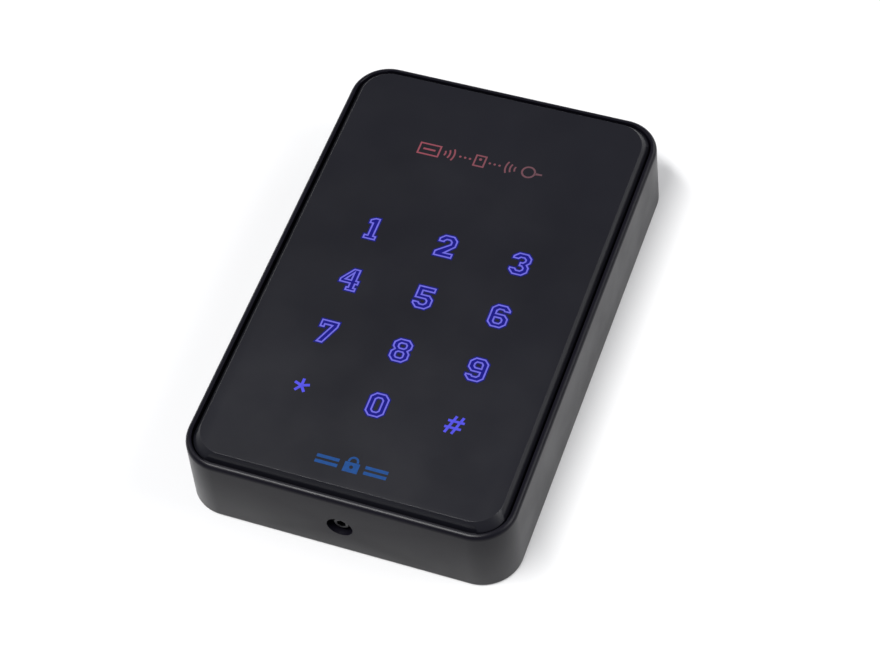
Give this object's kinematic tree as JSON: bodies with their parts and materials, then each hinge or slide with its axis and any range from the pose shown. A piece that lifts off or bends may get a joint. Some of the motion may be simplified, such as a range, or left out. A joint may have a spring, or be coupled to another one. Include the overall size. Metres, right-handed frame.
{
  "type": "rfid card reader",
  "caption": "Slim wall-mounted card reader: black moulded case, raised touch keypad panel, steel wall plate with hooks and a locking screw.",
  "frame": {"origin": "centre of the back outline, on the wall surface", "axes": "+Z out of the front face, away from the wall; +Y towards the reader's top; +X to the right seen from the front"},
  "size_m": [0.077, 0.12, 0.0205],
  "materials": {
    "plate_steel": "fine textured black powder coat on sheet steel",
    "insert_brass": "turned",
    "housing_plastic": "satin moulded black plastic with a fine spark texture",
    "panel_face": "smooth hard-coated black acrylic, semi-gloss",
    "adhesive_foam": "black foam tape",
    "diffuser_sheet": "milky light-spreading sheet",
    "sensor_film": "clear amber film with printed electrodes",
    "baffle_plastic": "white reflective moulding",
    "board_laminate": "green solder mask over glass-fibre board",
    "led_body": "white lamp body with a clear window",
    "coil_wire": "enamelled copper winding",
    "chip_epoxy": "black moulding compound",
    "can_aluminium": "drawn can",
    "crystal_can": "plated can",
    "buzzer_plastic": "satin",
    "socket_nylon": "natural nylon",
    "cover_plastic": "matt moulded black plastic",
    "gasket_silicone": "grey silicone",
    "screw_steel": "zinc plated",
    "grommet_rubber": "soft black rubber",
    "switch_plastic": "black",
    "plunger_nylon": "natural nylon",
    "spring_steel": "bright spring wire",
    "security_screw_steel": "black zinc plated",
    "retainer_nylon": "natural nylon"
  },
  "bodies": {
    "wall_mount": {"wall_plate": "plate_steel", "threaded_insert": "insert_brass"},
    "case": {"front_housing": "housing_plastic", "touch_panel": "panel_face", "panel_adhesive": "adhesive_foam", "legend_diffuser": "diffuser_sheet", "touch_sensor_film": "sensor_film", "light_baffle": "baffle_plastic", "main_board": "board_laminate", "status_led_left": "led_body", "status_led_right": "led_body", "antenna_coil": "coil_wire", "controller_chip": "chip_epoxy", "reader_chip": "chip_epoxy", "touch_chip": "chip_epoxy", "voltage_regulator": "chip_epoxy", "capacitor": "can_aluminium", "crystal": "crystal_can", "buzzer": "buzzer_plastic", "harness_socket": "socket_nylon", "rear_cover": "cover_plastic", "cover_gasket": "gasket_silicone", "cable_grommet": "grommet_rubber", "tamper_switch": "switch_plastic", "tamper_spring": "spring_steel", "key_led_1": "led_body", "key_led_2": "led_body", "key_led_3": "led_body", "key_led_4": "led_body", "key_led_5": "led_body", "key_led_6": "led_body", "key_led_7": "led_body", "key_led_8": "led_body", "key_led_9": "led_body", "key_led_star": "led_body", "key_led_0": "led_body", "key_led_hash": "led_body", "cover_screw_1": "screw_steel", "board_screw_1": "screw_steel", "cover_screw_2": "screw_steel", "board_screw_2": "screw_steel", "cover_screw_3": "screw_steel", "board_screw_3": "screw_steel", "cover_screw_4": "screw_steel", "board_screw_4": "screw_steel"},
    "screw_carrier": {"screw_retainer": "retainer_nylon"},
    "security_screw": {"security_screw": "security_screw_steel"},
    "tamper_plunger": {"tamper_plunger": "plunger_nylon"}
  },
  "joints": [
    {"name": "case_swing", "type": "hinge", "parent": "wall_mount", "child": "case", "pos_m": [0, 0.06, 0], "axis": [-1, 0, 0], "range_deg": [0, 20]},
    {"name": "screw_drive", "type": "slide", "parent": "case", "child": "screw_carrier", "axis": [0, 1, 0], "range_m": [0, 0.003]},
    {"name": "screw_turn", "type": "hinge", "parent": "screw_carrier", "child": "security_screw", "pos_m": [0, -0.058, 0.0091], "axis": [0, 1, 0], "range_deg": [0, 2165]},
    {"name": "tamper_press", "type": "slide", "parent": "case", "child": "tamper_plunger", "axis": [0, 0, 1], "range_m": [0, 0.001], "stiffness_N_per_m": 120, "springref_m": -0.002, "deforming": ["tamper_spring"]}
  ],
  "couplings": [
    {"joint": "screw_turn", "follows": "screw_drive", "rad_per_m": 12566}
  ]
}
